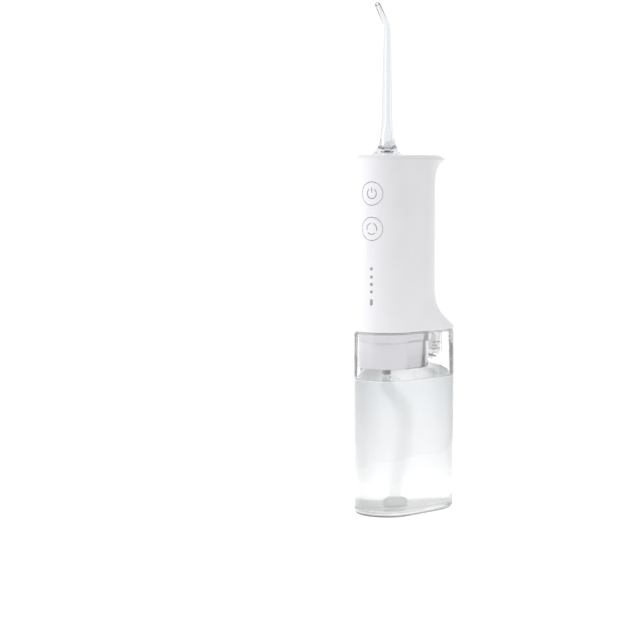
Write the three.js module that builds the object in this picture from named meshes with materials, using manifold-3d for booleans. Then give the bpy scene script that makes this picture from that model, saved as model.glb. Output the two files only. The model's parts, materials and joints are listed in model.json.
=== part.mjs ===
// A portable water flosser: a handle with a piston pump, a clear tank that pushes on from below, and a bent nozzle.
// Millimetres, +Z up, buttons towards -Y. Every piece is drawn about the nozzle's axis, where x = y = 0, and the whole
// is moved at the end so that the origin is the middle of its base.
import * as THREE from "three";
import { mergeVertices } from "three/addons/utils/BufferGeometryUtils.js";
import Module from "manifold-3d";

const wasm = await Module();
wasm.setup();

// Level outlines: the hull of a front circle about the nozzle's axis and a rear circle whose centre is "reach" behind.
const FRONT_RADIUS = 18.5;
const TANK_REACH = 27.5;
const TANK_REAR_RADIUS = 26;
const GRIP_REACH = 11.9;
const WIDENING = (TANK_REAR_RADIUS - FRONT_RADIUS) / TANK_REACH;
const TANGENT = Math.asin(WIDENING);
const DEPTH = FRONT_RADIUS + TANK_REACH + TANK_REAR_RADIUS;

// Heights
const TANK_TOP = 103.9;
const GASKET = { low: 104.2, high: 104.6 };
const HANDLE_LOW = 104.9;
const LIP_TOP = 106;
const FLARE_TOP = 132;
const HOOK_LOW = 186;
const HOOK_TIP = 201.9;
const DECK = 204.5;
const DECK_UNDERSIDE = 202.3;
const CUP_LOW = 83.6;
const CUP_STEP = 98.7;
const STRAINER_Y = 7.2;

// Walls and clearances
const GAP = 0.3;
const SHELL_WALL = 2;
const TANK_WALL = 1.6;
const TANK_FLOOR = 3;
const CUP_WALL = 1.5;
const DECK_ROUNDING = 3;
const FOOT_ROUNDING = 2.5;

// The deck's middle is a plate that rests on a ledge in the shell
const PLATE = { reach: 13.5, inset: 4.9, ledgeInset: 6.1, ledge: 203.2 };

// Controls, by height
const POWER_Z = 183;
const MODE_Z = 163.3;
const BUTTON_RADIUS = 6.35;
const DOT_HEIGHTS = [140.9, 136.3, 132.2, 128];
const DOT_RADIUS = 0.75;
const BAR = { z: 122.1, halfWidth: 0.75, halfHeight: 1.7 };

// Drive: a motor along Y turns a gear whose eccentric works an upright piston
const MODULE = 0.8;
const GEAR_TEETH = 30;
const PINION_TEETH = 10;
const GEAR_Z = 118;
const MOTOR_Z = GEAR_Z + (MODULE * (GEAR_TEETH + PINION_TEETH)) / 2;
const GEAR_FACE = { front: -9.5, rear: -5.5 };
const ECCENTRIC = { offset: 1.5, radius: 3.8, rear: -1.6 };
const ROD = { front: -5.1, rear: -1.9, length: 16 };
const PISTON_Y = (ROD.front + ROD.rear) / 2;
const MOTOR = { front: 0.5, rear: 25.5, radius: 10.2, halfHeight: 7.6 };
const AXLE_RADIUS = 1.25;
const SHAFT_RADIUS = 1;
const CELL = { y: 14.7, radius: 7.1, low: 144, high: 193.6 };
const BOARD = { front: -11.5, rear: -10.3, halfWidth: 8.5, low: 119, high: 191 };

// Nozzle
const STEM_RADIUS = 3.9;
const STEM_LOW = 188;
const SOCKET_RADIUS = 6.8;
const BORE_RADIUS = 0.9;
const CHAMBER = { radius: 2.3, length: 10, throat: 20 };
const CORNER_Z = 276.3;
const BEND_ANGLE = THREE.MathUtils.degToRad(46);
const BEND_RADIUS = 6;
const BEND_Z = CORNER_Z - BEND_RADIUS * Math.tan(BEND_ANGLE / 2);
const TIP_LENGTH = 14.6;

// Release button on the deck, behind the nozzle
const RELEASE_Y = 17.5;
const RELEASE_RADIUS = 4.5;

// Hinged covers, let into the outside of a rear wall
const COVER_DEPTH = 2.8;
const COVER_AXIS_DEPTH = 1.5;
const COVER_BARREL = { radius: 1.1, halfLength: 4.2, bore: 0.65, pin: 0.45 };
const CHARGE_COVER = { halfWidth: 6.5, low: 143.6, height: 9.6 };
const REFILL_COVER = { halfWidth: 8.5, low: 82, height: 15 };

// ---------------------------------------------------------------- shapes

function solid(geometry) {
  const bare = geometry.clone();
  bare.deleteAttribute("normal");
  bare.deleteAttribute("uv");
  const merged = mergeVertices(bare, 1e-4);
  return new wasm.Manifold(
    new wasm.Mesh({
      numProp: 3,
      vertProperties: new Float32Array(merged.attributes.position.array),
      triVerts: new Uint32Array(merged.index.array),
    }),
  );
}

function join(...solids) {
  return solids.reduce((whole, piece) => whole.add(piece));
}

function cut(whole, ...tools) {
  return tools.reduce((left, tool) => left.subtract(tool), whole);
}

function box(x, y, z) {
  const geometry = new THREE.BoxGeometry(x[1] - x[0], y[1] - y[0], z[1] - z[0]);
  geometry.translate((x[0] + x[1]) / 2, (y[0] + y[1]) / 2, (z[0] + z[1]) / 2);
  return solid(geometry);
}

// An upright cylinder about (x, y).
function post(x, y, z, radius, sides = 24) {
  const geometry = new THREE.CylinderGeometry(radius, radius, z[1] - z[0], sides);
  geometry.rotateX(Math.PI / 2);
  geometry.translate(x, y, (z[0] + z[1]) / 2);
  return solid(geometry);
}

// A cylinder along Y about (x, z).
function barrel(x, y, z, radius, sides = 24) {
  const geometry = new THREE.CylinderGeometry(radius, radius, y[1] - y[0], sides);
  geometry.translate(x, (y[0] + y[1]) / 2, z);
  return solid(geometry);
}

// A cylinder along X about (y, z).
function spindle(x, y, z, radius, sides = 12) {
  const geometry = new THREE.CylinderGeometry(radius, radius, x[1] - x[0], sides);
  geometry.rotateZ(Math.PI / 2);
  geometry.translate((x[0] + x[1]) / 2, y, z);
  return solid(geometry);
}

// A turned piece about the upright line through (x, y), from a profile of [radius, z] points that runs upwards.
function turned(x, y, profile, sides = 24) {
  const points = profile.map(([radius, z]) => new THREE.Vector2(radius, z));
  const geometry = new THREE.LatheGeometry(points, sides);
  geometry.rotateX(Math.PI / 2);
  geometry.translate(x, y, 0);
  return solid(geometry);
}

// A tube along a smooth curve through the given points.
function hose(points, radius, steps, sides = 10) {
  const section = new THREE.Shape();
  section.absarc(0, 0, radius, 0, 2 * Math.PI);
  const path = new THREE.CatmullRomCurve3(points.map((point) => new THREE.Vector3(...point)));
  const geometry = new THREE.ExtrudeGeometry(section, {
    steps,
    curveSegments: sides / 2,
    extrudePath: path,
  });
  return solid(geometry);
}

// A closed solid through a stack of convex rings with equal numbers of points.
function loft(rings) {
  const count = rings[0].length;
  const top = (rings.length - 1) * count;
  const faces = [];
  for (let ring = 0; ring < top; ring += count) {
    for (let i = 0; i < count; i++) {
      const a = ring + i;
      const b = ring + ((i + 1) % count);
      faces.push(a, b, b + count, a, b + count, a + count);
    }
  }
  for (let i = 1; i < count - 1; i++) {
    faces.push(0, i + 1, i);
    faces.push(top, top + i, top + i + 1);
  }
  return solid(new THREE.BufferGeometry().setFromPoints(rings.flat()).setIndex(faces));
}

function rearRadius(reach) {
  return FRONT_RADIUS + WIDENING * reach;
}

function rearmost(reach) {
  return reach + rearRadius(reach);
}

// One level outline, drawn "inset" inside the outer one.
function outline(reach, inset, z) {
  const frontSteps = 12;
  const rearSteps = 18;
  const points = [];
  const arc = (centre, radius, from, to, steps) => {
    for (let i = 0; i <= steps; i++) {
      const turn = from + ((to - from) * i) / steps;
      points.push(new THREE.Vector3(radius * Math.cos(turn), centre + radius * Math.sin(turn), z));
    }
  };
  arc(0, FRONT_RADIUS - inset, TANGENT - Math.PI, -TANGENT, frontSteps);
  arc(reach, rearRadius(reach) - inset, -TANGENT, Math.PI + TANGENT, rearSteps);
  return points;
}

function prism(reach, inset, z) {
  return loft([outline(reach, inset, z[0]), outline(reach, inset, z[1])]);
}

// The handle's levels as [reach, z]: a lip over the tank, the flare, the grip, the hook and the rounded deck.
function handleLevels(flareSteps, hookSteps, noseSteps) {
  const flare = new THREE.CubicBezierCurve(
    new THREE.Vector2(TANK_REACH, LIP_TOP),
    new THREE.Vector2(17.5, 114),
    new THREE.Vector2(GRIP_REACH, 116),
    new THREE.Vector2(GRIP_REACH, FLARE_TOP),
  );
  const hook = new THREE.CubicBezierCurve(
    new THREE.Vector2(GRIP_REACH, HOOK_LOW),
    new THREE.Vector2(GRIP_REACH - 0.1, 197.5),
    new THREE.Vector2(15.5, 200),
    new THREE.Vector2(20.4, HOOK_TIP),
  );
  const levels = [[TANK_REACH, HANDLE_LOW]];
  flare.getPoints(flareSteps).forEach(({ x, y }) => levels.push([x, y]));
  hook.getPoints(hookSteps).forEach(({ x, y }) => levels.push([x, y]));
  for (let i = 1; i <= noseSteps; i++) {
    const share = Math.sin((i / noseSteps) * (Math.PI / 2));
    levels.push([17.6 + 2.8 * (1 - share) ** 2, HOOK_TIP + (DECK - HOOK_TIP) * share]);
  }
  return levels;
}

function deckInset(z) {
  const rise = Math.max(0, z - (DECK - DECK_ROUNDING));
  return DECK_ROUNDING - Math.sqrt(DECK_ROUNDING ** 2 - Math.min(rise, DECK_ROUNDING) ** 2);
}

function handleOuter() {
  return loft(handleLevels(7, 6, 4).map(([reach, z]) => outline(reach, deckInset(z), z)));
}

function handleInner(inset) {
  const hookRoom = 14;
  const levels = handleLevels(5, 3, 1).filter(([, z]) => z < DECK_UNDERSIDE);
  levels[0] = [TANK_REACH, HANDLE_LOW - 1];
  levels.push([hookRoom, DECK_UNDERSIDE]);
  return loft(
    levels.map(([reach, z]) => outline(z > HOOK_LOW ? Math.min(reach, hookRoom) : reach, inset, z)),
  );
}

// A gear along Y, its face from y[0] to y[1], with tooth 0 pointing at "phase".
function gear(teeth, x, y, z, phase) {
  const pitch = (MODULE * teeth) / 2;
  const flank = [
    [pitch - 1.1, 0.8],
    [pitch, 0.55],
    [pitch + 0.7, 0.25],
  ];
  const shape = new THREE.Shape();
  const at = (radius, angle) => [radius * Math.cos(angle), radius * Math.sin(angle)];
  for (let tooth = 0; tooth < teeth; tooth++) {
    const centre = phase + (2 * Math.PI * tooth) / teeth;
    const rise = flank.map(([radius, half]) => at(radius, centre - half / radius));
    const fall = flank.map(([radius, half]) => at(radius, centre + half / radius)).reverse();
    [...rise, ...fall].forEach(([u, v], i) => {
      if (tooth === 0 && i === 0) shape.moveTo(u, v);
      else shape.lineTo(u, v);
    });
  }
  const geometry = new THREE.ExtrudeGeometry(shape, { depth: y[1] - y[0], bevelEnabled: false });
  geometry.rotateX(Math.PI / 2);
  geometry.translate(x, y[1], z);
  return solid(geometry);
}

// ---------------------------------------------------------------- materials

function finish(color, roughness, metalness = 0, opacity = 1) {
  return { color, roughness, metalness, opacity, transparent: opacity < 1 };
}

const WHITE = finish(0xf4f4f6, 0.38);
const CLEAR = finish(0xe8f2f6, 0.05, 0, 0.35);
const SILVER = finish(0xc2c2c8, 0.42, 0.1);
const SILICONE = finish(0xe9e9ea, 0.6);
const CLEAR_SILICONE = finish(0xf2f4f5, 0.3, 0, 0.5);
const FROSTED = finish(0xd6d8dc, 0.4);
const INNER = finish(0x8b9096, 0.6);
const ACETAL = finish(0xf0ead8, 0.45);
const STEEL = finish(0xb9bcc0, 0.3, 1);
const BOARD_GREEN = finish(0x1f5f43, 0.5);
const CELL_BLUE = finish(0x3f6ea8, 0.4);
const BLACK = finish(0x232326, 0.5);

const flosser = new THREE.Group();

function add(name, shape, look) {
  const mesh = shape.getMesh();
  const geometry = new THREE.BufferGeometry();
  geometry.setAttribute("position", new THREE.BufferAttribute(mesh.vertProperties, mesh.numProp));
  geometry.setIndex(new THREE.BufferAttribute(mesh.triVerts, 1));
  geometry.computeVertexNormals();
  const piece = new THREE.Mesh(geometry, new THREE.MeshStandardMaterial(look));
  piece.name = name;
  flosser.add(piece);
}

// ---------------------------------------------------------------- hinged covers

// Where a cover's hinge axis and recess lie, for a wall whose rearmost point is at surfaceY.
function coverPlace(cover, surfaceY) {
  return {
    ...cover,
    floorY: surfaceY - COVER_DEPTH,
    axisY: surfaceY - COVER_AXIS_DEPTH,
    high: cover.low + cover.height,
  };
}

// The room that a cover needs in its wall: the plate's recess, the narrower hinge pocket and the pin's hole.
function coverRecess(place) {
  const { halfWidth, floorY, axisY, low, high } = place;
  const wide = halfWidth + GAP;
  const narrow = COVER_BARREL.halfLength + GAP;
  const outside = axisY + 10;
  const pocketLow = low - COVER_BARREL.radius - 0.7;
  return join(
    box([-wide, wide], [floorY, outside], [low + 1.6, high + GAP]),
    box([-narrow, narrow], [floorY, outside], [pocketLow, low + 2]),
    spindle([-narrow - 1.8, narrow + 1.8], axisY, low, COVER_BARREL.bore),
  );
}

// A cover's plate takes the wall's own outside, so it closes flush.
function coverPlate(place, wallOutside) {
  const { halfWidth, floorY, axisY, low, high } = place;
  const { radius, halfLength, bore } = COVER_BARREL;
  const inner = floorY + GAP;
  const blank = join(
    box([-halfWidth, halfWidth], [inner, axisY + 10], [low + 1.9, high]),
    box([-halfLength, halfLength], [inner, axisY + 10], [low, low + 2.5]),
  );
  const plate = blank.intersect(wallOutside);
  const knuckle = spindle([-halfLength, halfLength], axisY, low, radius);
  return cut(join(plate, knuckle), spindle([-halfLength - 1, halfLength + 1], axisY, low, bore));
}

function coverPin(place) {
  const half = COVER_BARREL.halfLength + GAP + 1.5;
  return spindle([-half, half], place.axisY, place.low, COVER_BARREL.pin);
}

// ---------------------------------------------------------------- tank

function makeTank() {
  const foot = [0, 0.3, 0.75, FOOT_ROUNDING];
  const outerRings = foot.map((z) => {
    const drop = FOOT_ROUNDING - z;
    const inset = FOOT_ROUNDING - Math.sqrt(FOOT_ROUNDING ** 2 - drop ** 2);
    return outline(TANK_REACH, inset, z);
  });
  const outer = loft([...outerRings, outline(TANK_REACH, 0, TANK_TOP)]);
  const inner = loft([
    outline(TANK_REACH, TANK_WALL + 2, TANK_FLOOR),
    outline(TANK_REACH, TANK_WALL + 0.6, TANK_FLOOR + 0.6),
    outline(TANK_REACH, TANK_WALL, TANK_FLOOR + 2),
    outline(TANK_REACH, TANK_WALL, TANK_TOP + 1),
  ]);
  const place = coverPlace(REFILL_COVER, rearmost(TANK_REACH));
  const frameInner = place.floorY - 1.6;
  const frame = box([-11.5, 11.5], [frameInner, place.axisY + 10], [place.low - 4, place.high + 3]);
  const mouth = box([-6.5, 6.5], [frameInner - 1, place.floorY + 1], [place.low + 3.2, place.high - 2]);
  const wall = join(cut(outer, inner), frame.intersect(prism(TANK_REACH, 0.2, [60, TANK_TOP - 0.5])));
  add("tank_body", cut(wall, coverRecess(place), mouth), CLEAR);
  add("refill_cover", coverPlate(place, prism(TANK_REACH, 0.05, [60, 103])), CLEAR_SILICONE);
  add("refill_pin", coverPin(place), STEEL);
  const seal = box([-6.2, 6.2], [frameInner + 0.3, place.floorY], [place.low + 3.5, place.high - 2.6]);
  add("refill_seal", seal, CLEAR_SILICONE);
}

// ---------------------------------------------------------------- handle housing

function lightHoles(clearance) {
  const dots = DOT_HEIGHTS.map((z) => barrel(0, [-25, -12], z, DOT_RADIUS + clearance, 12));
  const barHalf = BAR.halfWidth + clearance;
  const barRise = BAR.halfHeight + clearance;
  return join(...dots, box([-barHalf, barHalf], [-25, -12], [BAR.z - barRise, BAR.z + barRise]));
}

function makeDeckPlate() {
  const { reach, inset, ledgeInset, ledge } = PLATE;
  const plate = join(
    prism(reach, inset, [ledge + GAP, DECK]),
    prism(reach, ledgeInset, [DECK_UNDERSIDE + 0.1, ledge + 1]),
  );
  const releaseHole = post(0, RELEASE_Y, [190, 210], RELEASE_RADIUS + GAP, 28);
  const socketHole = post(0, 0, [190, 210], SOCKET_RADIUS + GAP, 28);
  add("deck_plate", cut(plate, releaseHole, socketHole), WHITE);
}

function makeHousing(outer) {
  const place = coverPlace(CHARGE_COVER, rearmost(GRIP_REACH));
  const frameInner = place.floorY - 1.6;
  const frame = box([-9, 9], [frameInner, place.axisY + 10], [place.low - 3.6, place.high + 2.4]);
  const shell = join(cut(outer, handleInner(SHELL_WALL)), frame.intersect(prism(GRIP_REACH, 0.2, [135, 165])));
  const portMouth = box([-4.9, 4.9], [frameInner - 1, place.floorY + 1], [146.1, 149.9]);
  const buttonHoles = [POWER_Z, MODE_Z].map((z) => barrel(0, [-25, 0], z, BUTTON_RADIUS + GAP, 32));
  const plateSeat = join(
    prism(PLATE.reach, PLATE.inset - GAP, [PLATE.ledge, DECK + 1]),
    prism(PLATE.reach, PLATE.ledgeInset - GAP, [DECK_UNDERSIDE - 1, DECK + 1]),
  );
  add(
    "handle_shell",
    cut(shell, coverRecess(place), portMouth, plateSeat, ...buttonHoles, lightHoles(GAP)),
    WHITE,
  );
  add("charge_cover", coverPlate(place, prism(GRIP_REACH, 0.05, [135, 165])), SILICONE);
  add("charge_pin", coverPin(place), STEEL);
  makeChargeSocket(place.floorY);
}

function makeChargeSocket(floorY) {
  const front = floorY - 7;
  const can = box([-4.5, 4.5], [front, floorY - 0.2], [146.4, 149.6]);
  const mouth = box([-4.15, 4.15], [front + 1, floorY + 1], [146.75, 149.25]);
  const tongue = box([-3.4, 3.4], [front + 0.5, floorY - 1.2], [147.65, 148.35]);
  add("charge_socket", join(cut(can, mouth), tongue), STEEL);
}

function makeBase() {
  const plate = cut(prism(TANK_REACH, 2.5, [HANDLE_LOW + 0.1, LIP_TOP]), prism(9.97, 4, [100, 110]));
  const screwHoles = [-14.8, 14.8].map((x) => post(x, 20, [100, 110], 1.3, 12));
  add("base_plate", cut(plate, ...screwHoles), WHITE);
  const seal = cut(
    prism(TANK_REACH, 0.6, [GASKET.low, GASKET.high]),
    prism(TANK_REACH, 1.8, [GASKET.low - 1, GASKET.high + 1]),
  );
  add("tank_gasket", seal, SILICONE);
}

function makePumpCup() {
  const wallReach = 9.97;
  const bandReach = 11.6;
  const wall = loft([
    outline(wallReach, 3.3, CUP_LOW),
    outline(wallReach, 2.4, CUP_LOW + 0.9),
    outline(wallReach, 2.4, CUP_STEP + 1),
  ]);
  const band = prism(bandReach, 2.1, [CUP_STEP, GASKET.high]);
  const nub = turned(0, 0, [
    [0, 78.7],
    [2.2, 78.7],
    [2.5, 79.2],
    [2.5, CUP_LOW + 1],
    [0, CUP_LOW + 1],
  ]);
  const hollow = prism(wallReach, 2.4 + CUP_WALL, [CUP_LOW + 1.6, GASKET.high + 1]);
  const inlet = post(0, 0, [70, 90], 1, 12);
  add("pump_cup", cut(join(wall, band, nub), hollow, inlet), SILVER);
}

// ---------------------------------------------------------------- controls

function makeButton(name, z, outer) {
  const reach = [-25, 0];
  const inside = (inset) => prism(GRIP_REACH, inset, [140, 200]);
  const cap = cut(barrel(0, reach, z, BUTTON_RADIUS, 32).intersect(outer), inside(3.3));
  const flange = cut(barrel(0, reach, z, 7.6, 24).intersect(inside(SHELL_WALL + GAP)), inside(3.3));
  add(name, join(cap, flange), WHITE);
}

function makeControls(outer) {
  makeButton("power_button", POWER_Z, outer);
  makeButton("mode_button", MODE_Z, outer);
  const sheet = [4.2, 4.7].map((inset) => prism(GRIP_REACH, inset, [140, 200]));
  const membrane = cut(sheet[0], sheet[1]).intersect(box([-5.5, 5.5], [-20, 0], [155, 187]));
  add("button_membrane", membrane, SILICONE);

  const boardHoles = [-1, 1].map((side) => barrel(side * 7, [-20, 0], 189, 1.1, 12));
  const board = box([-BOARD.halfWidth, BOARD.halfWidth], [BOARD.front, BOARD.rear], [BOARD.low, BOARD.high]);
  add("control_board", cut(board, ...boardHoles), BOARD_GREEN);
  makeSwitch("power_switch", POWER_Z);
  makeSwitch("mode_switch", MODE_Z);

  [...DOT_HEIGHTS, BAR.z].forEach((z, i) => {
    const lamp = box([-0.8, 0.8], [BOARD.front - 1, BOARD.front - GAP], [z - 0.5, z + 0.5]);
    add("led_" + (i + 1), lamp, SILICONE);
  });
  const strip = box([-2, 2], [-15.9, -14.6], [119, 143]);
  const prongs = lightHoles(0).intersect(prism(GRIP_REACH, 0.05, [110, 150]));
  const guide = join(strip, cut(prongs, box([-5, 5], [-15.2, 0], [110, 150])));
  add("light_guide", guide, FROSTED);
}

function makeSwitch(name, z) {
  const body = box([-2.3, 2.3], [BOARD.front - 1.3, BOARD.front - GAP], [z - 2.3, z + 2.3]);
  const plunger = barrel(0, [BOARD.front - 1.8, BOARD.front - 1], z, 1.1, 12);
  add(name, join(body, plunger), BLACK);
}

// ---------------------------------------------------------------- chassis and power

function makeChassis() {
  const deck = cut(
    prism(16, 3.4, [106.5, 108]),
    box([-8.6, 8.6], [-10.1, -1.3], [100, 110]),
    box([4, 15.6], [0.5, 9.5], [100, 110]),
  );
  const gearPlate = box([-11, 10.7], [-1.2, 0.2], [107, 143.5]);
  const axleBoss = barrel(0, [0, 2.6], GEAR_Z, 3.2);
  const cellShelf = box([-11.5, 10.7], [-1.2, 24], [142.3, 143.5]);
  const leftWall = box([-12, -10.8], [-1.2, 22], [107, 196.2]);
  const rightWall = box([10.8, 12], [8, 22], [107, 196.2]);
  const rightShelf = box([10, 11.5], [8, 22], [142.3, 143.5]);
  const topShelf = box([-12, 12], [-9.5, 22], [195, 196.2]);
  const boardTabs = [-1, 1].map((side) => box([side * 7 - 2, side * 7 + 2], [-10, -8.6], [186, 195.5]));
  const body = join(deck, gearPlate, axleBoss, cellShelf, leftWall, rightWall, rightShelf, topShelf, ...boardTabs);
  const holes = [
    barrel(0, [-5, 5], GEAR_Z, AXLE_RADIUS + GAP, 16),
    barrel(0, [-5, 0.4], MOTOR_Z, 3.3, 20),
    post(0, 0, [190, 200], SOCKET_RADIUS + 0.5, 28),
    ...[-1, 1].map((side) => barrel(side * 7, [-20, 0], 189, 1.1, 12)),
    ...[-1, 1].map((side) => post(side * 14.8, 20, [100, 110], 1.3, 12)),
  ];
  add("chassis", cut(body, ...holes), INNER);

  const can = turned(
    0,
    CELL.y,
    [
      [0, CELL.low],
      [CELL.radius - 0.6, CELL.low],
      [CELL.radius, CELL.low + 0.6],
      [CELL.radius, CELL.high - 0.6],
      [CELL.radius - 0.6, CELL.high],
      [3, CELL.high],
      [3, CELL.high + 0.9],
      [0, CELL.high + 0.9],
    ],
    28,
  );
  add("battery_cell", can, CELL_BLUE);
  [-1, 1].forEach((side) => makeScrew(side));
}

// One pair of screws holds the board to the chassis, along Y, and one the chassis to the base plate, along Z.
function makeScrew(side) {
  const name = side < 0 ? "left" : "right";
  const boardShank = barrel(side * 7, [-12.2, -8.2], 189, 0.8, 10);
  add("board_screw_" + name, join(boardShank, barrel(side * 7, [-13, -11.8], 189, 1.7, 14)), STEEL);
  const chassisShank = post(side * 14.8, 20, [104.95, 109], 1, 10);
  add("chassis_screw_" + name, join(chassisShank, post(side * 14.8, 20, [108.3, 109.6], 2, 14)), STEEL);
}

// ---------------------------------------------------------------- drive and pump

function makeDrive() {
  const flats = box([-20, 20], [-5, 40], [MOTOR_Z - MOTOR.halfHeight, MOTOR_Z + MOTOR.halfHeight]);
  const can = barrel(0, [MOTOR.front, MOTOR.rear], MOTOR_Z, MOTOR.radius, 36).intersect(flats);
  const bearings = barrel(0, [MOTOR.front - 1.4, MOTOR.rear + 1.6], MOTOR_Z, 2.9, 20);
  const bore = barrel(0, [-5, 20], MOTOR_Z, SHAFT_RADIUS + GAP, 14);
  const tabs = [-1, 1].map((side) => box([side * 6 - 1, side * 6 + 1], [25, 28.5], [133.8, 134.2]));
  add("motor", cut(join(can, bearings, ...tabs), bore), STEEL);

  const face = [GEAR_FACE.front, GEAR_FACE.rear];
  const pinionPhase = -Math.PI / 2 + Math.PI / PINION_TEETH;
  const shaft = barrel(0, [GEAR_FACE.front - 0.2, 19.5], MOTOR_Z, SHAFT_RADIUS, 12);
  add("motor_pinion", join(gear(PINION_TEETH, 0, face, MOTOR_Z, pinionPhase), shaft), ACETAL);

  const eccentricZ = GEAR_Z - ECCENTRIC.offset;
  const eccentric = barrel(0, [GEAR_FACE.rear - 0.5, ECCENTRIC.rear], eccentricZ, ECCENTRIC.radius);
  const gearBore = barrel(0, [-12, 2], GEAR_Z, AXLE_RADIUS + GAP, 16);
  const wheel = gear(GEAR_TEETH, 0, face, GEAR_Z, Math.PI / 2);
  const dish = cut(
    barrel(0, [GEAR_FACE.front - 1, GEAR_FACE.front + 1.3], GEAR_Z, 9.6, 28),
    barrel(0, [-20, 0], GEAR_Z, 3.2, 20),
  );
  add("drive_gear", cut(join(wheel, eccentric), gearBore, dish), ACETAL);
  add("gear_axle", barrel(0, [GEAR_FACE.front - 0.3, 2.5], GEAR_Z, AXLE_RADIUS, 16), STEEL);

  const depth = [ROD.front, ROD.rear];
  const smallEnd = eccentricZ - ROD.length;
  const rod = join(
    barrel(0, depth, eccentricZ, 5.8, 28),
    box([-1.7, 1.7], depth, [smallEnd, eccentricZ - 4.5]),
    barrel(0, depth, smallEnd, 2.2, 18),
  );
  add("connecting_rod", cut(rod, barrel(0, [-8, 0], eccentricZ, ECCENTRIC.radius + GAP)), ACETAL);
}

function makePump() {
  const plunger = post(0, PISTON_Y, [87, 94.5], 4.5);
  const root = box([-4, 4], [-6.9, -0.1], [93.8, 95]);
  const prongs = [
    [-6.9, -5.5],
    [-1.5, -0.1],
  ].map((y) => box([-4, 4], y, [94.5, 101.6]));
  add("piston", join(plunger, root, ...prongs), ACETAL);

  const barrelBody = post(0, PISTON_Y, [85.5, 93.4], 7, 32);
  const valveBlock = box([-7.5, 7.5], [2, 11], [85.5, 91.8]);
  const bore = post(0, PISTON_Y, [86.7, 100], 4.8);
  const pockets = [-4, 4].map((x) => post(x, 7, [87.5, 100], 2.2, 16));
  add("pump_cylinder", cut(join(barrelBody, valveBlock), bore, ...pockets), INNER);
  makeValve("inlet_valve", -4);
  makeValve("outlet_valve", 4);

  const route = [
    [4, 7, 92.1],
    [4, 7, 96],
    [9, 5, 103.5],
    [13.4, 3.1, 112],
    [13.6, 3, 124],
    [13.6, 3, 150],
    [13.4, 2.9, 162],
    [10, 1, 170],
    [3.6, 0, 176],
    [0.3, 0, 179.8],
    [0, 0, 183.5],
  ];
  add("delivery_tube", hose(route, 2.2, 24, 8), SILICONE);
}

function makeValve(name, x) {
  const profile = [
    [0, 87.8],
    [1.9, 87.8],
    [1.9, 88.4],
    [0.6, 89],
    [0.6, 91],
    [0, 91],
  ];
  add(name, turned(x, 7, profile, 14), BLACK);
}

function makeSuction() {
  const route = [
    [0, 0, 78.3],
    [0, 0, 75.5],
    [0, 2.4, 70.5],
    [0, 9, 63.5],
    [0, 13.2, 55],
    [0, 13.6, 43],
    [0, 10.5, 29],
    [0, STRAINER_Y + 0.5, 16],
    [0, STRAINER_Y, 9.3],
  ];
  add("suction_tube", hose(route, 2.6, 24, 8), CLEAR_SILICONE);
  const strainer = turned(0, STRAINER_Y, [
    [0, 3.6],
    [3.8, 3.6],
    [4.4, 4.2],
    [4.4, 8],
    [3.4, 9],
    [0, 9],
  ]);
  const slots = [0, 1, 2].map((i) => {
    const turn = (i * Math.PI) / 3;
    const slot = new THREE.BoxGeometry(12, 1, 2.4);
    slot.rotateZ(turn);
    slot.translate(0, STRAINER_Y, 5.6);
    return solid(slot);
  });
  const core = post(0, STRAINER_Y, [3.8, 8.8], 2.6, 16);
  add("suction_strainer", join(cut(strainer, ...slots), core), WHITE);
}

// ---------------------------------------------------------------- nozzle and its release

// A round section of the nozzle, square to its centreline at the given distance above the deck.
function nozzleRing(length, radius, sides) {
  const straight = BEND_Z - DECK;
  const bendLength = BEND_RADIUS * BEND_ANGLE;
  const turn = THREE.MathUtils.clamp((length - straight) / BEND_RADIUS, 0, BEND_ANGLE);
  const centre = new THREE.Vector3(0, 0, DECK + Math.min(length, straight));
  centre.y -= BEND_RADIUS * (1 - Math.cos(turn));
  centre.z += BEND_RADIUS * Math.sin(turn);
  const beyond = Math.max(0, length - straight - bendLength);
  centre.y -= beyond * Math.sin(turn);
  centre.z += beyond * Math.cos(turn);
  const points = [];
  for (let i = 0; i < sides; i++) {
    const around = (2 * Math.PI * i) / sides;
    const v = radius * Math.sin(around);
    const offset = new THREE.Vector3(radius * Math.cos(around), v * Math.cos(turn), v * Math.sin(turn));
    points.push(offset.add(centre));
  }
  return points;
}

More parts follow.
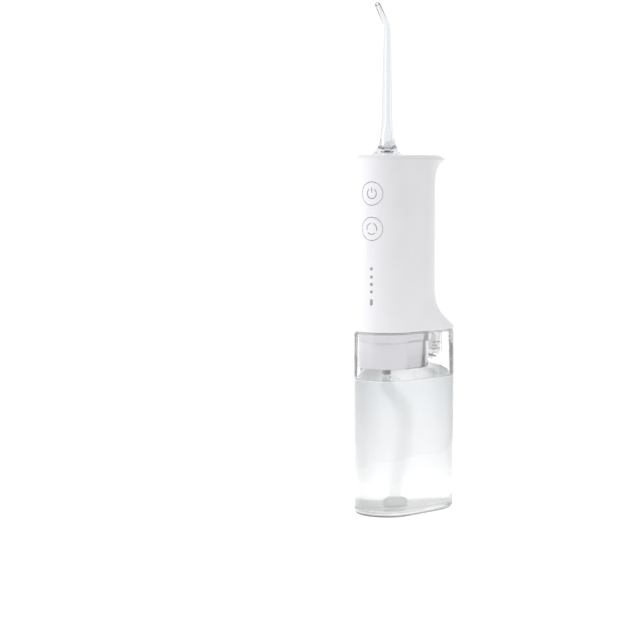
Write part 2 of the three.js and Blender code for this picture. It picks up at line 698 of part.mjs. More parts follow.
function makeNozzle() {
  const straight = BEND_Z - DECK;
  const bendLength = BEND_RADIUS * BEND_ANGLE;
  const whole = straight + bendLength + TIP_LENGTH;
  const trumpet = [
    [0.3, 8.4],
    [0.8, 8.4],
    [1.5, 7.2],
    [2.6, 6.4],
    [4.9, 5.2],
    [8.3, 4.25],
    [12, 3.7],
    [17, 3.25],
  ];
  const shank = [
    [36, 2.85],
    [55, 2.45],
    [65, 2.1],
    [straight, 1.9],
  ];
  const bend = [1, 2, 3, 4].map((i) => [straight + (bendLength * i) / 4, 1.9 - 0.05 * i]);
  const tip = [[whole, 1.5]];
  const stations = [...trumpet, ...shank, ...bend, ...tip];
  const sides = 20;
  const outside = loft(stations.map(([length, radius]) => nozzleRing(length, radius, sides)));
  const stem = turned(0, 0, [
    [0, STEM_LOW],
    [STEM_RADIUS - 0.5, STEM_LOW],
    [STEM_RADIUS, STEM_LOW + 0.8],
    [STEM_RADIUS, DECK + 0.6],
    [0, DECK + 0.6],
  ], sides);
  const chamber = [
    [STEM_LOW - DECK - 1, CHAMBER.radius],
    [CHAMBER.length, CHAMBER.radius],
    [CHAMBER.throat, BORE_RADIUS],
  ];
  const jet = [straight, ...bend.map(([length]) => length), whole + 1].map((length) => [length, BORE_RADIUS]);
  const bore = loft([...chamber, ...jet].map(([length, radius]) => nozzleRing(length, radius, 14)));
  add("nozzle", cut(join(stem, outside), bore), CLEAR);

  const inner = STEM_RADIUS + 0.4;
  const socket = turned(0, 0, [
    [1.6, 184],
    [SOCKET_RADIUS, 184],
    [SOCKET_RADIUS, 200.6],
    [8.6, 200.6],
    [8.6, 202],
    [SOCKET_RADIUS, 202],
    [SOCKET_RADIUS, 204.2],
    [inner, 204.2],
    [inner, 193],
    [5.6, 193],
    [5.6, 190.4],
    [inner, 190.4],
    [inner, 187.4],
    [1.6, 187.4],
    [1.6, 184],
  ]);
  add("nozzle_socket", socket, WHITE);
  const ring = [];
  for (let i = 0; i <= 8; i++) {
    const around = (2 * Math.PI * i) / 8;
    ring.push([4.78 + 0.5 * Math.cos(around), 191.7 + 0.8 * Math.sin(around)]);
  }
  add("socket_ring", turned(0, 0, ring), BLACK);
}

function makeRelease() {
  const button = turned(0, RELEASE_Y, [
    [0, 197.7],
    [1.5, 197.7],
    [1.5, 199.4],
    [5.6, 199.4],
    [5.6, DECK_UNDERSIDE - GAP],
    [RELEASE_RADIUS, DECK_UNDERSIDE - GAP],
    [RELEASE_RADIUS, DECK - 0.5],
    [RELEASE_RADIUS - 0.5, DECK],
    [0, DECK],
  ]);
  add("release_button", button, WHITE);

  const turns = 3;
  const spring = { low: 196.9, high: 198.8, radius: 2.9, wire: 0.25 };
  const path = [];
  for (let i = 0; i <= turns * 8; i++) {
    const turn = (i * Math.PI) / 4;
    const z = spring.low + ((spring.high - spring.low) * i) / (turns * 8);
    path.push([spring.radius * Math.cos(turn), RELEASE_Y + spring.radius * Math.sin(turn), z]);
  }
  add("release_spring", hose(path, spring.wire, turns * 10, 6), STEEL);

  const travel = 1.3;
  const plate = box([-9, 9], [-8.8, 9], [197.4, 199]);
  const ramp = new THREE.Shape();
  ramp.moveTo(8.5, 197.4);
  ramp.lineTo(13.4, 197.4);
  ramp.lineTo(11.8, 199);
  ramp.lineTo(8.5, 199);
  const tail = new THREE.ExtrudeGeometry(ramp, { depth: 6, bevelEnabled: false });
  tail.rotateX(Math.PI / 2);
  tail.rotateZ(Math.PI / 2);
  tail.translate(-3, 0, 0);
  const hole = join(post(0, 0, [190, 205], SOCKET_RADIUS + 0.5), post(0, travel, [190, 205], SOCKET_RADIUS + 0.5));
  add("nozzle_latch", cut(join(plate, solid(tail)), hole), STEEL);
}

// ---------------------------------------------------------------- assembly

const handleBody = handleOuter();
makeTank();
makeHousing(handleBody);
makeDeckPlate();
makeBase();
makePumpCup();
makeControls(handleBody);
makeChassis();
makeDrive();
makePump();
makeSuction();
makeNozzle();
makeRelease();

flosser.position.y = FRONT_RADIUS - DEPTH / 2;

export default flosser;
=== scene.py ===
# A portable water flosser: its looks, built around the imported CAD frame.
import json
import math
import bpy
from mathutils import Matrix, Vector


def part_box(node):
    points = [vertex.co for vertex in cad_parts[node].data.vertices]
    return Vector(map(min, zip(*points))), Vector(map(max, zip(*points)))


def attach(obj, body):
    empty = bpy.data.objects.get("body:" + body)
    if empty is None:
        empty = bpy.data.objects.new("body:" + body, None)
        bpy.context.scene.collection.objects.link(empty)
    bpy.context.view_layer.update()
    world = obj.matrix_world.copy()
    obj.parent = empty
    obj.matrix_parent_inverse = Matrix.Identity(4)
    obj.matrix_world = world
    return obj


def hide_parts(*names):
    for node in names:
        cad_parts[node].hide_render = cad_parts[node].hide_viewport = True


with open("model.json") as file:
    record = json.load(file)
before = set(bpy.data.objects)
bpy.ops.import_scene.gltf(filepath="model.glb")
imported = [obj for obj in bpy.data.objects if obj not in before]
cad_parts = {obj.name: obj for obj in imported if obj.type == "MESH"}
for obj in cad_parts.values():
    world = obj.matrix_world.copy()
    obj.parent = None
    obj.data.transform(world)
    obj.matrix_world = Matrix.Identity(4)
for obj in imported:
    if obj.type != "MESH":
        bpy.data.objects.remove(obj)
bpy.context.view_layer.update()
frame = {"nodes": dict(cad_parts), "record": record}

# Every shape is drawn in millimetres about the nozzle's axis, where x = y = 0.
# build() moves it into the frame.
MM = 0.001
NOZZLE_Y = sum(corner.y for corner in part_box("nozzle_socket")) / 2

# Level outlines: the hull of a front circle about the nozzle's axis and a rear circle "reach" behind it.
FRONT_RADIUS = 18.5
TANK_REACH = 27.5
GRIP_REACH = 11.9
WIDENING = 7.5 / 27.5
TANGENT = math.asin(WIDENING)

# Walls and clearances, as in the CAD
GAP = 0.3
SHELL_WALL = 2
TANK_WALL = 1.6
TANK_FLOOR = 3
FOOT_ROUNDING = 2.5
INNER_ROUNDING = 2
DECK_ROUNDING = 3
LIP_TOP = 106
FLARE_TOP = 132
HOOK_LOW = 186
HOOK_TIP = 201.9
DECK_UNDERSIDE = 202.3
PLATE = {"reach": 13.5, "inset": 4.9, "ledge_inset": 6.1, "ledge": 203.2}
BUTTON_RADIUS = 6.35
DISH = 0.12
LIGHT_RADIUS = 0.75
LIGHT_CLEARANCE = 0.12
BAR_HALF_HEIGHT = 1.7
RELEASE_RADIUS = 4.5
SOCKET_RADIUS = 6.8
WATER_LEVEL = 77.4

# The cup that hangs in the tank has a wider band above its step.
CUP_FOOT = 83.6
CUP_STEP = 98.7
CUP_REACH = 9.97
CUP_INSET = 2.4
BAND_REACH = 11.6
BAND_INSET = 2.1
INTAKE_RADIUS = {"outside": 2.6, "bore": 1.5}

# Nozzle
STEM_RADIUS = 3.9
BEND_ANGLE = math.radians(46)
BEND_RADIUS = 6
CORNER_Z = 276.3
BEND_Z = CORNER_Z - BEND_RADIUS * math.tan(BEND_ANGLE / 2)
TIP_LENGTH = 14.6
CHAMBER = {"radius": 2.3, "length": 10, "throat": 20, "jet": 0.9}

# Hinged covers
COVER_DEPTH = 2.8
COVER_AXIS_DEPTH = 1.5
COVER_FRAME = 1.6
CUTTER_REACH = 10
PORT = {"half_width": 4.9, "heights": (146.1, 149.9)}
BARREL = {"radius": 1.1, "half_length": 4.2, "bore": 0.65}


def measured(node):
    """A CAD node's lowest and highest corners in millimetres about the nozzle's axis."""
    shift = Vector((0, NOZZLE_Y, 0))
    low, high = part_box(node)
    return (low - shift) / MM, (high - shift) / MM


def middle(node):
    low, high = measured(node)
    return (low + high) / 2


HANDLE_LOW = measured("handle_shell")[0].z
DECK = measured("handle_shell")[1].z
TANK_TOP = measured("tank_body")[1].z
POWER_Z = middle("power_button").z
MODE_Z = middle("mode_button").z
LIGHT_HEIGHTS = [middle(f"led_{i}").z for i in range(1, 6)]
RELEASE_Y = middle("release_button").y


# ---------------------------------------------------------------- meshes

def build(name, vertices, faces):
    mesh = bpy.data.meshes.new(name)
    mesh.from_pydata([(x * MM, y * MM + NOZZLE_Y, z * MM) for x, y, z in vertices], [], faces)
    obj = bpy.data.objects.new(name, mesh)
    bpy.context.scene.collection.objects.link(obj)
    return obj


def skin(name, rings, wrap=False):
    """A closed surface through rings of points.

    A ring of one point is a pole, and wrap joins the last ring to the first.
    """
    vertices = [point for ring in rings for point in ring]
    starts = [sum(len(ring) for ring in rings[:i]) for i in range(len(rings))]
    count = max(len(ring) for ring in rings)
    faces = []
    pairs = list(zip(range(len(rings) - 1), range(1, len(rings))))
    if wrap:
        pairs.append((len(rings) - 1, 0))
    for low, high in pairs:
        for i in range(count):
            j = (i + 1) % count
            a, b = (starts[low] + (k if len(rings[low]) > 1 else 0) for k in (i, j))
            c, d = (starts[high] + (k if len(rings[high]) > 1 else 0) for k in (j, i))
            faces.append(tuple(dict.fromkeys((a, b, c, d))))
    if not wrap and len(rings[0]) > 1:
        faces.append(tuple(reversed(range(count))))
    if not wrap and len(rings[-1]) > 1:
        faces.append(tuple(range(starts[-1], starts[-1] + count)))
    return build(name, vertices, faces)


def arc_points(centre_y, radius, start, end, steps):
    turns = [start + (end - start) * i / steps for i in range(steps + 1)]
    return [(radius * math.cos(turn), centre_y + radius * math.sin(turn)) for turn in turns]


def rear_radius(reach):
    return FRONT_RADIUS + WIDENING * reach


def rearmost(reach):
    return reach + rear_radius(reach)


def outline(reach, inset, z, front_steps=56, rear_steps=72):
    front = arc_points(0, FRONT_RADIUS - inset, TANGENT - math.pi, -TANGENT, front_steps)
    rear = arc_points(reach, rear_radius(reach) - inset, -TANGENT, math.pi + TANGENT, rear_steps)
    return [(x, y, z) for x, y in front + rear]


def levels(name, stations):
    """An upright solid through [reach, inset, z] stations."""
    return skin(name, [outline(reach, inset, z) for reach, inset, z in stations])


def prism(name, reach, inset, low, high):
    return levels(name, [(reach, inset, low), (reach, inset, high)])


def circle(x, y, z, radius, steps):
    turns = [2 * math.pi * i / steps for i in range(steps)]
    return [(x + radius * math.cos(turn), y + radius * math.sin(turn), z) for turn in turns]


def turned(name, x, y, profile, steps=96):
    """A turned piece about the upright line through (x, y).

    Its profile is [radius, z] points that run upwards on the outside.
    """
    closed = profile[0] == profile[-1]
    points = profile[:-1] if closed else profile
    rings = [circle(x, y, z, radius, steps) if radius else [(x, y, z)] for radius, z in points]
    return skin(name, rings, wrap=closed)


def front_wall(x):
    return -math.sqrt(FRONT_RADIUS ** 2 - x ** 2)


def front_turned(name, z, profile, steps=72):
    """A round piece let into the curved front wall, from [radius, depth below the wall] points."""
    rings = []
    for radius, depth in reversed(profile):
        spots = circle(0, z, 0, radius, steps) if radius else [(0, z, 0)]
        rings.append([(x, front_wall(x) + depth, height) for x, height, _ in spots])
    return skin(name, rings)


def block(name, x, y, z, corner=0.0, steps=6):
    """A block from low to high along each axis, with its four edges along Y rounded."""
    outline_points = []
    for quarter in range(4):
        cx = (x[1] - corner) if quarter in (0, 3) else (x[0] + corner)
        cz = (z[1] - corner) if quarter in (0, 1) else (z[0] + corner)
        for i in range(steps + 1 if corner else 1):
            turn = math.pi / 2 * (quarter + (i / steps if corner else 0))
            outline_points.append((cx + corner * math.cos(turn), cz + corner * math.sin(turn)))
    front, back = ([(px, depth, pz) for px, pz in outline_points] for depth in y)
    return skin(name, [back, front])


def spindle(name, x, y, z, radius, steps=24):
    """A cylinder along X about (y, z)."""
    turns = [2 * math.pi * i / steps for i in range(steps)]
    ends = [[(end, y + radius * math.cos(t), z + radius * math.sin(t)) for t in turns] for end in x]
    return skin(name, ends)


def spline(points, steps):
    """A Catmull-Rom curve through the points, with that many steps between each two."""
    points = [Vector(point) for point in points]
    ends = [2 * points[0] - points[1], *points, 2 * points[-1] - points[-2]]
    curve = []
    for p, q, r, s in zip(ends, ends[1:], ends[2:], ends[3:]):
        for i in range(steps):
            t = i / steps
            curve.append(0.5 * (2 * q + (r - p) * t + (2 * p - 5 * q + 4 * r - s) * t ** 2
                                + (3 * q - p - 3 * r + s) * t ** 3))
    return curve + [points[-1]]


def hose(name, route, radius, bore, steps=6, sides=24):
    """A tube with an open bore along a smooth route in the YZ plane or near it."""
    path = spline(route, steps)
    rings = []
    for i, point in enumerate(path):
        along = (path[min(i + 1, len(path) - 1)] - path[max(i - 1, 0)]).normalized()
        side = Vector((1, 0, 0))
        up = along.cross(side).normalized()
        turns = [2 * math.pi * k / sides for k in range(sides)]
        rings.append([[point + (side * math.cos(t) + up * math.sin(t)) * size for t in turns]
                      for size in (radius, bore)])
    outside = [outer for outer, _ in rings]
    inside = [inner for _, inner in reversed(rings)]
    return skin(name, outside + inside, wrap=True)


def bake_modifiers(obj):
    graph = bpy.context.evaluated_depsgraph_get()
    mesh = bpy.data.meshes.new_from_object(obj.evaluated_get(graph))
    obj.modifiers.clear()
    obj.data = mesh


def combine(obj, operation, *tools):
    for tool in tools:
        modifier = obj.modifiers.new("combine", "BOOLEAN")
        modifier.operation = operation
        modifier.solver = "EXACT"
        modifier.object = tool
        bake_modifiers(obj)
        bpy.data.objects.remove(tool)
    return obj


def cut(obj, *tools):
    return combine(obj, "DIFFERENCE", *tools)


def soften(obj, width=0.0, angle=35):
    """Rounds the edges sharper than the angle and shades the rest smooth."""
    if width:
        modifier = obj.modifiers.new("edges", "BEVEL")
        modifier.width = width * MM
        modifier.segments = 3
        modifier.limit_method = "ANGLE"
        modifier.angle_limit = math.radians(angle)
        bake_modifiers(obj)
    obj.data.shade_smooth()
    obj.data.set_sharp_from_angle(angle=math.radians(angle))
    return obj


def finished(obj, look, body, slot, *replaced):
    """Gives the piece its material and CAD body, and hides the CAD nodes that it stands for. The slot
    argument is not used.
    """
    obj.data.materials.clear()
    obj.data.materials.append(look)
    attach(obj, body)
    if replaced:
        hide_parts(*replaced)
    return obj


# ---------------------------------------------------------------- materials

def new_look(name, color, roughness, **sockets):
    look = bpy.data.materials.new(name)
    look.use_nodes = True
    shader = look.node_tree.nodes["Principled BSDF"]
    shader.inputs["Base Color"].default_value = (*color, 1)
    shader.inputs["Roughness"].default_value = roughness
    for socket, value in sockets.items():
        shader.inputs[socket.replace("_", " ")].default_value = value
    return look


def noise(look, scale, detail=3, stretch=(1, 1, 1)):
    """Noise in the object's own space; scale is in features per metre."""
    nodes, links = look.node_tree.nodes, look.node_tree.links
    place = nodes.new("ShaderNodeTexCoord")
    mapping = nodes.new("ShaderNodeMapping")
    mapping.inputs["Scale"].default_value = stretch
    texture = nodes.new("ShaderNodeTexNoise")
    texture.inputs["Scale"].default_value = scale
    texture.inputs["Detail"].default_value = detail
    links.new(place.outputs["Object"], mapping.inputs["Vector"])
    links.new(mapping.outputs["Vector"], texture.inputs["Vector"])
    return texture.outputs["Fac"]


def tint(look, pattern, dark, light, low=0.35, high=0.65):
    """Colours the surface from dark to light as the pattern goes from low to high."""
    nodes, links = look.node_tree.nodes, look.node_tree.links
    ramp = nodes.new("ShaderNodeValToRGB")
    for element, position, color in zip(ramp.color_ramp.elements, (low, high), (dark, light)):
        element.position = position
        element.color = (*color, 1)
    links.new(pattern, ramp.inputs["Fac"])
    links.new(ramp.outputs["Color"], nodes["Principled BSDF"].inputs["Base Color"])


def polish(look, pattern, smooth, rough, low=0.1, high=0.9):
    nodes, links = look.node_tree.nodes, look.node_tree.links
    spread = nodes.new("ShaderNodeMapRange")
    spread.inputs["From Min"].default_value = low
    spread.inputs["From Max"].default_value = high
    spread.inputs["To Min"].default_value = smooth
    spread.inputs["To Max"].default_value = rough
    links.new(pattern, spread.inputs["Value"])
    links.new(spread.outputs["Result"], nodes["Principled BSDF"].inputs["Roughness"])


def grain(look, pattern, strength, height):
    """Height is in millimetres."""
    nodes, links = look.node_tree.nodes, look.node_tree.links
    bump = nodes.new("ShaderNodeBump")
    bump.inputs["Strength"].default_value = strength
    bump.inputs["Distance"].default_value = height * MM
    links.new(pattern, bump.inputs["Height"])
    links.new(bump.outputs["Normal"], nodes["Principled BSDF"].inputs["Normal"])


def moulded(name, dark, light, roughness, grain_strength=0.1, **sockets):
    """Moulded plastic or rubber: a slight drift of shade, uneven gloss and a fine eroded grain."""
    look = new_look(name, light, roughness, **sockets)
    tint(look, noise(look, 60), dark, light)
    polish(look, noise(look, 200), roughness - 0.04, roughness + 0.08)
    grain(look, noise(look, 1500, 2), grain_strength, 0.012)
    return look


def clear(name, color, ior, roughness, through=1.0, uneven=0.06):
    """Clear plastic or water: light goes through, with a very slight unevenness of the surface."""
    look = new_look(name, color, roughness, Transmission_Weight=through, IOR=ior)
    polish(look, noise(look, 90), roughness, roughness + 0.03)
    grain(look, noise(look, 55, 1), uneven, 0.1)
    return look


def height_share(look, low, high):
    """0 below the low height and 1 above the high one, in millimetres above the object's own origin."""
    nodes, links = look.node_tree.nodes, look.node_tree.links
    place = nodes.new("ShaderNodeTexCoord")
    split = nodes.new("ShaderNodeSeparateXYZ")
    share = nodes.new("ShaderNodeMapRange")
    share.inputs["From Min"].default_value = low * MM
    share.inputs["From Max"].default_value = high * MM
    links.new(place.outputs["Object"], split.inputs["Vector"])
    links.new(split.outputs["Z"], share.inputs["Value"])
    return share.outputs["Result"]


def haze(look, steps):
    """Sets the roughness by height from (millimetres, roughness) steps, the last of them at the top."""
    nodes, links = look.node_tree.nodes, look.node_tree.links
    top = steps[-1][0]
    ramp = nodes.new("ShaderNodeValToRGB")
    for height, _ in steps[1:-1]:
        ramp.color_ramp.elements.new(height / top)
    for element, (_, roughness) in zip(ramp.color_ramp.elements, steps):
        element.color = (roughness, roughness, roughness, 1)
    ramp.color_ramp.elements[0].position = steps[0][0] / top
    links.new(height_share(look, 0, top), ramp.inputs["Fac"])
    links.new(ramp.outputs["Color"], nodes["Principled BSDF"].inputs["Roughness"])


def water_look_with_painted_shade():
    """Water seen through a moulded wall.

    Its colour carries painted shade: blue-grey near the surface and nearly white low down. It is hazy
    between a clear top and bottom.
    """
    look = clear("water", (0.97, 0.985, 0.99), 1.33, 0.35, through=0.9)
    # painted shade: the base colour goes from nearly white low down to blue-grey towards the water's surface
    tint(look, height_share(look, 15, 70), (0.972, 0.976, 0.98), (0.875, 0.9, 0.917), 0, 1)
    haze(look, [(2, 0.08), (26, 0.35), (WATER_LEVEL - 0.5, 0.35), (WATER_LEVEL, 0.02)])
    return look


def metal(name, dark, light, roughness, stretch=(1, 1, 1)):
    look = new_look(name, light, roughness, Metallic=1.0)
    tint(look, noise(look, 500), dark, light)
    polish(look, noise(look, 900, 4, stretch), roughness - 0.05, roughness + 0.05)
    grain(look, noise(look, 2400, 2, stretch), 0.15, 0.01)
    return look


def silver_look():
    """Satin silver-grey paint with fine flakes."""
    look = new_look("silver_paint", (0.56, 0.55, 0.575), 0.16, Metallic=1.0)
    tint(look, noise(look, 5000, 2), (0.53, 0.52, 0.545), (0.59, 0.58, 0.605))
    polish(look, noise(look, 200), 0.12, 0.2)
    grain(look, noise(look, 1500, 2), 0.03, 0.01)
    return look


def board_look():
    """Green solder mask with the copper lines under it."""
    look = new_look("circuit_board", (0.06, 0.24, 0.15), 0.4)
    nodes, links = look.node_tree.nodes, look.node_tree.links
    place = nodes.new("ShaderNodeTexCoord")
    lines = nodes.new("ShaderNodeTexBrick")
    lines.inputs["Scale"].default_value = 260
    lines.inputs["Mortar Size"].default_value = 0.06
    lines.inputs["Color1"].default_value = (0.04, 0.2, 0.12, 1)
    lines.inputs["Color2"].default_value = (0.05, 0.22, 0.13, 1)
    lines.inputs["Mortar"].default_value = (0.1, 0.34, 0.2, 1)
    turned_round = nodes.new("ShaderNodeMapping")
    turned_round.inputs["Rotation"].default_value = (math.pi / 2, 0, 0)
    links.new(place.outputs["Object"], turned_round.inputs["Vector"])
    links.new(turned_round.outputs["Vector"], lines.inputs["Vector"])
    links.new(lines.outputs["Color"], nodes["Principled BSDF"].inputs["Base Color"])
    polish(look, noise(look, 400), 0.34, 0.46)
    return look


LOOKS = {
    "white_plastic": moulded("white_plastic", (0.815, 0.81, 0.84), (0.835, 0.83, 0.86), 0.34, 0.02),
    "clear_plastic": clear("clear_plastic", (0.997, 0.998, 0.999), 1.49, 0.0),
    "clear_nozzle": clear("clear_nozzle", (0.91, 0.925, 0.935), 1.49, 0.0, uneven=0.005),
    "silver_plastic": silver_look(),
    "silicone": moulded("silicone", (0.78, 0.78, 0.79), (0.84, 0.84, 0.85), 0.5),
    "clear_silicone": clear("clear_silicone", (0.98, 0.983, 0.985), 1.41, 0.18, through=0.85),
    "frosted_plastic": moulded("frosted_plastic", (0.36, 0.37, 0.39), (0.42, 0.43, 0.45), 0.35),
    "inner_plastic": moulded("inner_plastic", (0.2, 0.21, 0.225), (0.25, 0.26, 0.275), 0.5, 0.15),
    "acetal": moulded("acetal", (0.78, 0.74, 0.62), (0.83, 0.79, 0.68), 0.4),
    "steel": metal("steel", (0.5, 0.5, 0.51), (0.66, 0.66, 0.67), 0.2),
    "circuit_board": board_look(),
    "cell_wrap": moulded("cell_wrap", (0.03, 0.11, 0.28), (0.045, 0.14, 0.33), 0.34),
    "black_rubber": moulded("black_rubber", (0.012, 0.012, 0.013), (0.022, 0.022, 0.024), 0.5, 0.15),
}
WATER = water_look_with_painted_shade()
SUNK_SILICONE = clear("sunk_silicone", (0.998, 0.998, 0.998), 1.06, 0.15, through=0.95)
MILKY = clear("milky_plastic", (0.99, 0.99, 0.992), 1.06, 0.25, through=0.85)
PRINT = moulded("printed_grey", (0.3, 0.3, 0.315), (0.36, 0.36, 0.375), 0.45)
MARKING = moulded("tank_marking", (0.22, 0.22, 0.24), (0.28, 0.28, 0.3), 0.5)
FROST = moulded("frosted_marking", (0.88, 0.88, 0.89), (0.93, 0.93, 0.94), 0.6)


def in_slot(obj, slot, body, *replaced):
    """A finished piece whose look is its material slot's own."""
    return finished(obj, LOOKS[slot], body, slot, *replaced)


def dress_cad_nodes():
    for part in frame["record"]["subparts"]:
        node = frame["nodes"][part["node"]]
        node.data.materials.clear()
        node.data.materials.append(LOOKS[part["material_slot"]])


# ---------------------------------------------------------------- handle

def bezier(p, q, r, s, steps):
    points = []
    for i in range(steps + 1):
        t = i / steps
        weights = ((1 - t) ** 3, 3 * t * (1 - t) ** 2, 3 * t ** 2 * (1 - t), t ** 3)
        points.append(tuple(sum(w * c[k] for w, c in zip(weights, (p, q, r, s))) for k in (0, 1)))
    return points


def handle_levels(steps, nose_steps):
    """The handle's levels as (reach, z): the flare, the grip, the hook and the rounded deck."""
    flare = bezier((TANK_REACH, LIP_TOP), (17.5, 114), (GRIP_REACH, 116), (GRIP_REACH, FLARE_TOP), steps)
    hook = bezier((GRIP_REACH, HOOK_LOW), (GRIP_REACH - 0.1, 197.5), (15.5, 200), (20.4, HOOK_TIP), steps)
    nose = []
    for i in range(1, nose_steps + 1):
        share = math.sin(i / nose_steps * math.pi / 2)
        nose.append((17.6 + 2.8 * (1 - share) ** 2, HOOK_TIP + (DECK - HOOK_TIP) * share))
    return flare + hook + nose


def deck_inset(z):
    rise = min(max(0, z - (DECK - DECK_ROUNDING)), DECK_ROUNDING)
    return DECK_ROUNDING - math.sqrt(DECK_ROUNDING ** 2 - rise ** 2)


def handle_outer(name):
    rim = [(TANK_REACH, 0.4, HANDLE_LOW), (TANK_REACH, 0.12, HANDLE_LOW + 0.12),
           (TANK_REACH, 0, HANDLE_LOW + 0.4)]
    return levels(name, rim + [(reach, deck_inset(z), z) for reach, z in handle_levels(32, 14)])


def handle_room():
    """The hollow inside the handle's wall."""
    room = [(reach, z) for reach, z in handle_levels(8, 1) if z < DECK_UNDERSIDE]
    narrowed = [(min(reach, 14) if z > HOOK_LOW else reach, SHELL_WALL, z) for reach, z in room]
    low = (TANK_REACH, SHELL_WALL, HANDLE_LOW - 1)
    return levels("room", [low, *narrowed, (14, SHELL_WALL, DECK_UNDERSIDE)])


def cover_place(node, surface_y):
    """A cover's hinge axis and recess, for a wall whose rearmost point is at surface_y."""
    low, high = measured(node)
    return {
        "half_width": high.x,
        "low": low.z + BARREL["radius"],
        "high": high.z,
        "floor_y": surface_y - COVER_DEPTH,
        "axis_y": surface_y - COVER_AXIS_DEPTH,
    }


def cover_recess(place):
    wide = place["half_width"] + GAP
    narrow = BARREL["half_length"] + GAP
    depth = (place["floor_y"], place["axis_y"] + CUTTER_REACH)
    pocket_low = place["low"] - BARREL["radius"] - 0.7
    return [
        block("recess", (-wide, wide), depth, (place["low"] + 1.6, place["high"] + GAP), corner=1.3),
        block("pocket", (-narrow, narrow), depth, (pocket_low, place["low"] + 3), corner=0.4),
        spindle("pin_hole", (-narrow - 1.8, narrow + 1.8), place["axis_y"], place["low"], BARREL["bore"]),
    ]


def light_slot(name, clearance, depth):
    """The bar's opening, or the bar itself: a short upright slot that follows the front wall."""
    half = LIGHT_RADIUS + clearance
    rise = BAR_HALF_HEIGHT - LIGHT_RADIUS
    ring = [(x, z + math.copysign(rise, z)) for x, z, _ in circle(0, 0, 0, half, 48) if abs(z) > 1e-6]
    return skin(name, [[(x, front_wall(x) + d, LIGHT_HEIGHTS[4] + z) for x, z in ring] for d in depth])


def make_handle_shell():
    place = cover_place("charge_cover", rearmost(GRIP_REACH))
    frame_y = (place["floor_y"] - COVER_FRAME, place["axis_y"] + CUTTER_REACH)
    room = cut(handle_room(), block("frame", (-9, 9), frame_y, (place["low"] - 3.6, place["high"] + 2.4)))
    hole = BUTTON_RADIUS + GAP
    hole_profile = [(0, -4), (hole + 0.2, -4), (hole + 0.2, -0.02), (hole + 0.06, 0.06),
                    (hole, 0.2), (hole, 6), (0, 6)]
    reach, inset, ledge_inset = PLATE["reach"], PLATE["inset"] - GAP, PLATE["ledge_inset"] - GAP
    seat = levels("seat", [(reach, inset, PLATE["ledge"]), (reach, inset, DECK - 0.2),
                           (reach, inset - 0.2, DECK), (reach, inset - 0.2, DECK + 1)])
    dot = LIGHT_RADIUS + LIGHT_CLEARANCE
    dots = [front_turned("dot", z, [(0, -2), (dot, -2), (dot, 4), (0, 4)], 32) for z in LIGHT_HEIGHTS[:4]]
    port_y = (place["floor_y"] - 3, place["floor_y"] + 1)
    shell = cut(
        handle_outer("handle_housing"),
        room,
        seat,
        prism("ledge", reach, ledge_inset, DECK_UNDERSIDE - 1, DECK + 1),
        *cover_recess(place),
        block("port_mouth", (-PORT["half_width"], PORT["half_width"]), port_y, PORT["heights"], corner=1.8),
        *[front_turned("button_hole", z, hole_profile) for z in (POWER_Z, MODE_Z)],
        *dots,
        light_slot("bar_hole", LIGHT_CLEARANCE, (4, -2)),
    )
    in_slot(soften(shell, 0, 30), "white_plastic", "handle", "handle_shell")


def make_deck_plate():
    reach, inset, ledge_inset = PLATE["reach"], PLATE["inset"], PLATE["ledge_inset"]
    underside = PLATE["ledge"] + GAP
    plate = levels("deck_panel", [
        (reach, ledge_inset, DECK_UNDERSIDE + 0.1), (reach, ledge_inset, underside),
        (reach, inset, underside), (reach, inset, DECK - 0.25),
        (reach, inset + 0.07, DECK - 0.07), (reach, inset + 0.25, DECK)])
    holes = []
    for y, rim in ((RELEASE_Y, RELEASE_RADIUS), (0, SOCKET_RADIUS)):
        radius = rim + GAP
        profile = [(0, 199), (radius, 199), (radius, DECK - 0.2), (radius + 0.2, DECK),
                   (radius + 0.2, DECK + 1), (0, DECK + 1)]
        holes.append(turned("hole", 0, y, profile))
    in_slot(soften(cut(plate, *holes), 0, 30), "white_plastic", "handle", "deck_plate")


def face_depth(radius):
    """How deep the slightly dished button face lies below the wall's curve."""
    return DISH * max(0, 1 - (radius / BUTTON_RADIUS) ** 2)


def make_button(name, z, body, icon):
    edge = 0.22
    face = [(radius, face_depth(radius)) for radius in [BUTTON_RADIUS * i / 12 for i in range(12)]]
    rounding = [(BUTTON_RADIUS - edge + edge * math.sin(turn), edge * (1 - math.cos(turn)))
                for turn in [math.pi / 8 * i for i in range(5)]]
    flange = [(BUTTON_RADIUS, SHELL_WALL + GAP), (7.6, SHELL_WALL + GAP), (7.6, 3.3), (0, 3.3)]
    cap = front_turned(name, z, face + rounding + flange)
    in_slot(soften(cap, 0, 30), "white_plastic", body, body)

    def on_face(x, up):
        return front_place(x, z + up, face_depth(math.hypot(x, up)))

    for i, path in enumerate(icon, 1):
        mark = ribbon(f"{name}_icon_{i}", path, 0.55, on_face)
        finished(mark, PRINT, body, "frosted_plastic")


def front_place(x, z, depth):
    """A point on the front wall and the direction out of it there."""
    point = Vector((x, front_wall(x) + depth, z))
    return point, Vector((x, front_wall(x), 0)).normalized()


def ribbon(name, path, width, place, proud=0.03, deep=0.15):
    """A printed or inlaid line along a path of (across, up) points on the surface that place() gives."""
    rings = []
    for i, spot in enumerate(path):
        ahead = Vector(path[min(i + 1, len(path) - 1)]) - Vector(path[max(i - 1, 0)])
        side = Vector((-ahead.y, ahead.x)).normalized() * width / 2
        corners = []
        for sign, lift in ((1, proud), (-1, proud), (-1, -deep), (1, -deep)):
            point, out = place(spot[0] + sign * side.x, spot[1] + sign * side.y)
            corners.append(tuple(point + out * lift))
        rings.append(corners)
    strip = skin(name, rings)
    strip.data.shade_flat()
    return strip


def arc_path(radius, start, end, steps=24):
    turns = [math.radians(start + (end - start) * i / steps) for i in range(steps + 1)]
    return [(radius * math.cos(turn), radius * math.sin(turn)) for turn in turns]


